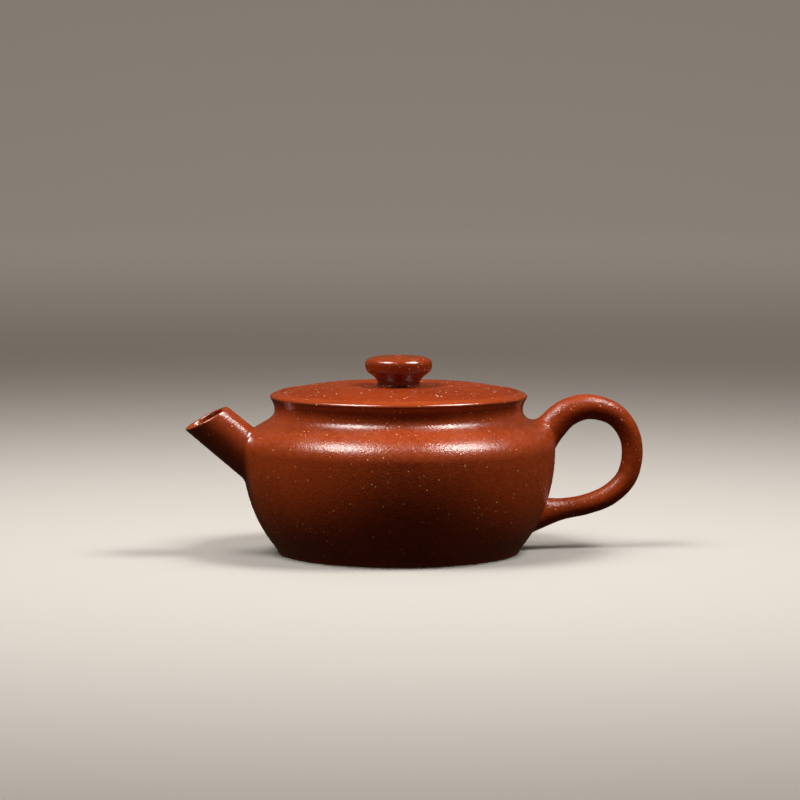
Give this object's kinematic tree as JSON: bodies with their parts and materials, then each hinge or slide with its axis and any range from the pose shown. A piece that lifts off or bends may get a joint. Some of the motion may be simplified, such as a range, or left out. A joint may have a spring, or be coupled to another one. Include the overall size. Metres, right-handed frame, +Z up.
{
  "type": "clay teapot",
  "caption": "Squat round unglazed clay teapot with a short straight spout, an ear-shaped handle and an inset lid with a button knob that lifts off.",
  "frame": {"origin": "on the table, under the middle of the pot's whole length from spout tip to handle; the belly's own axis is 5.2 mm towards the spout", "axes": "+X towards the handle, spout at -X; +Z up, the way the lid lifts; the pot is the same on both sides of the XZ plane"},
  "size_m": [0.1358, 0.0916, 0.0578],
  "materials": {
    "body_clay": "unglazed reddish-brown clay, burnished satin, fine golden sand",
    "rim_clay": "unglazed reddish-brown clay, burnished satin, sand flecks closer together",
    "lid_clay": "unglazed red clay, burnished satin, many pale sand flecks",
    "inner_clay": "unglazed reddish-brown clay, left matt from the tool"
  },
  "bodies": {
    "pot": {"foot_ring": "body_clay", "base_plate": "body_clay", "belly_wall": "body_clay", "shoulder_plate": "body_clay", "neck_ring": "body_clay", "mouth_rim": "rim_clay", "spout": "body_clay", "strainer": "inner_clay", "handle": "body_clay"},
    "lid": {"lid_plate": "lid_clay", "lid_flange": "inner_clay", "knob": "lid_clay"}
  },
  "joints": [
    {"name": "lid_lift", "type": "slide", "parent": "pot", "child": "lid", "axis": [0, 0, 1], "range_m": [0, 0.06]}
  ]
}
